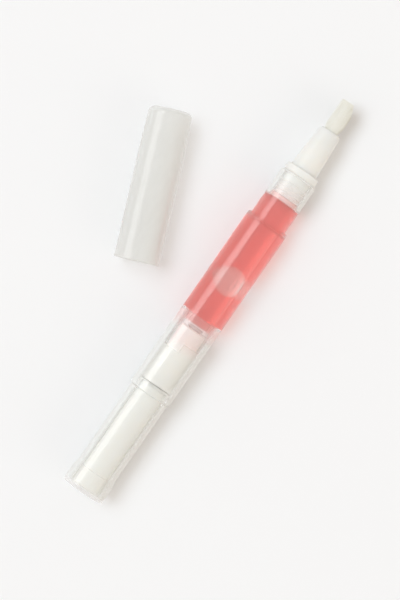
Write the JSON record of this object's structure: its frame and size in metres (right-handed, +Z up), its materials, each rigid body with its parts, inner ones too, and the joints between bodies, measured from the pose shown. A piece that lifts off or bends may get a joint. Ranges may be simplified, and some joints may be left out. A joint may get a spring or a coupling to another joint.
{
  "type": "nail oil pen",
  "caption": "Twist-up oil pen for nails and cuticles: clear barrel with a one-way screw drive, piston, brush tip and a frosted pull-off cap lying beside it.",
  "frame": {"origin": "middle of the knob's flat end face, on the pen's axis", "axes": "+X along the pen's axis from the knob to the brush, +Z up from the surface that the pen lies on"},
  "size_m": [0.1214, 0.0479, 0.012],
  "materials": {
    "clear_plastic": "clear, polished",
    "oil": "clear coloured liquid",
    "white_plastic": "semi-gloss",
    "core_plastic": "satin",
    "natural_plastic": "satin, slightly translucent",
    "rod_plastic": "satin",
    "end_plastic": "translucent",
    "piston_rubber": "soft, translucent",
    "collar_metal": "drawn",
    "bristle": "fine nylon filament",
    "frosted_plastic": "frosted, translucent"
  },
  "bodies": {
    "barrel": {"barrel_tube": "clear_plastic", "oil": "oil", "nozzle_plug": "white_plastic", "brush_holder": "white_plastic", "feed_tube": "natural_plastic", "tuft_collar": "collar_metal", "bristles": "bristle", "guide_nut": "core_plastic", "guide_sleeve": "natural_plastic", "ratchet_ring": "natural_plastic"},
    "knob": {"knob_shell": "clear_plastic", "knob_end_plug": "end_plastic", "drive_sleeve": "core_plastic", "drive_key": "natural_plastic", "click_ring": "natural_plastic"},
    "piston": {"piston_seal": "piston_rubber", "piston_core": "natural_plastic"},
    "rod": {"screw_rod": "rod_plastic"},
    "cap": {"cap_shell": "frosted_plastic"}
  },
  "joints": [
    {"name": "knob_twist", "type": "hinge", "parent": "barrel", "child": "knob", "pos_m": [0, 0, 0], "axis": [1, 0, 0], "range_deg": [0, 2880], "deforming": ["click_ring"]},
    {"name": "piston_advance", "type": "slide", "parent": "barrel", "child": "piston", "axis": [1, 0, 0], "range_m": [0, 0.028], "deforming": ["oil"]},
    {"name": "rod_spin", "type": "hinge", "parent": "piston", "child": "rod", "pos_m": [0, 0, 0], "axis": [1, 0, 0], "range_deg": [0, 2880]},
    {"name": "cap_pull", "type": "slide", "parent": "barrel", "child": "cap", "axis": [0.9298, 0.3681, 0], "range_m": [0, 0.04]}
  ],
  "couplings": [
    {"joint": "piston_advance", "follows": "knob_twist", "m_per_rad": 0.00055704},
    {"joint": "rod_spin", "follows": "knob_twist", "ratio": 1}
  ]
}
